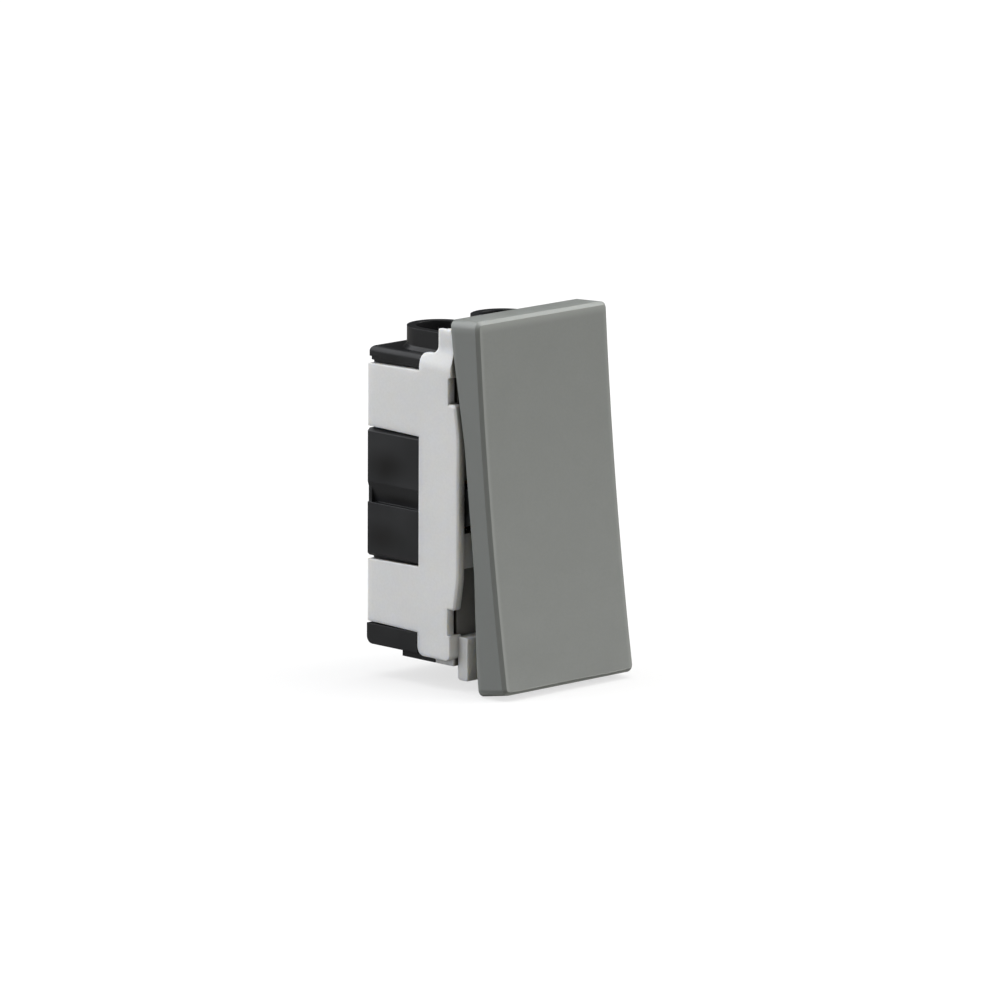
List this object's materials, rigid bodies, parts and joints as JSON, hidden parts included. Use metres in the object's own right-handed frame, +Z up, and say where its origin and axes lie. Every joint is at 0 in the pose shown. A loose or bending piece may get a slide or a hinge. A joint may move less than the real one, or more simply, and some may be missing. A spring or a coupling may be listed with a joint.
{
  "type": "modular rocker switch",
  "caption": "Modular rocker switch: a tilting paddle on a clip-in frame, with screw clamp terminals in a moulded housing behind it.",
  "frame": {"origin": "middle of the switch, on the plane of the flat front edges of the frame's side plates, where it sits in a mounting plate", "axes": "+X to the right seen from the front, -Y out of the wall towards the user, +Z up"},
  "size_m": [0.0248, 0.026, 0.0501],
  "materials": {
    "grey_paddle": "satin",
    "white_frame": "satin",
    "black_housing": "satin",
    "pale_carrier": "matte",
    "spring_steel": "satin",
    "brass": "satin",
    "silver_tip": "satin",
    "plated_steel": "satin"
  },
  "bodies": {
    "housing": {"base_housing": "black_housing", "front_frame": "white_frame", "common_strip": "brass", "line_one_strip": "brass", "line_two_strip": "brass", "line_one_tip": "silver_tip", "line_two_tip": "silver_tip"},
    "rocker": {"rocker_paddle": "grey_paddle", "rocker_carrier": "pale_carrier", "plunger_spring": "spring_steel"},
    "plunger": {"plunger": "pale_carrier"},
    "bridge": {"contact_bridge": "brass", "bridge_tip_upper": "silver_tip", "bridge_tip_lower": "silver_tip"},
    "common_cage": {"common_cage": "plated_steel"},
    "line_one_cage": {"line_one_cage": "plated_steel"},
    "line_two_cage": {"line_two_cage": "plated_steel"},
    "common_screw": {"common_screw": "plated_steel"},
    "line_one_screw": {"line_one_screw": "plated_steel"},
    "line_two_screw": {"line_two_screw": "plated_steel"}
  },
  "joints": [
    {"name": "rocker_tilt", "type": "hinge", "parent": "housing", "child": "rocker", "pos_m": [0, 0.0006, 0], "axis": [1, 0, 0], "range_deg": [0, 12.8]},
    {"name": "bridge_tilt", "type": "hinge", "parent": "housing", "child": "bridge", "pos_m": [0, 0.0127, 0], "axis": [1, 0, 0], "range_deg": [-18, 0]},
    {"name": "plunger_slide", "type": "slide", "parent": "rocker", "child": "plunger", "axis": [0, 0.9938, -0.1115], "range_m": [-0.0008, 0], "stiffness_N_per_m": 300, "deforming": ["plunger_spring"]},
    {"name": "line_one_screw_turn", "type": "hinge", "parent": "housing", "child": "line_one_screw", "pos_m": [-0.0059, 0.01, 0.016], "axis": [0, 0, -1], "range_deg": [0, 1183]},
    {"name": "line_one_cage_rise", "type": "slide", "parent": "housing", "child": "line_one_cage", "axis": [0, 0, 1], "range_m": [0, 0.0023]},
    {"name": "line_two_screw_turn", "type": "hinge", "parent": "housing", "child": "line_two_screw", "pos_m": [0.0059, 0.01, 0.016], "axis": [0, 0, -1], "range_deg": [0, 1183]},
    {"name": "line_two_cage_rise", "type": "slide", "parent": "housing", "child": "line_two_cage", "axis": [0, 0, 1], "range_m": [0, 0.0023]},
    {"name": "common_screw_turn", "type": "hinge", "parent": "housing", "child": "common_screw", "pos_m": [0, 0.01, -0.016], "axis": [0, 0, 1], "range_deg": [0, 1183]},
    {"name": "common_cage_rise", "type": "slide", "parent": "housing", "child": "common_cage", "axis": [0, 0, -1], "range_m": [0, 0.0023]}
  ],
  "couplings": [
    {"joint": "bridge_tilt", "follows": "rocker_tilt", "ratio": -1.4062},
    {"joint": "line_one_screw_turn", "follows": "line_one_cage_rise", "rad_per_m": 8976},
    {"joint": "line_two_screw_turn", "follows": "line_two_cage_rise", "rad_per_m": 8976},
    {"joint": "common_screw_turn", "follows": "common_cage_rise", "rad_per_m": 8976}
  ]
}
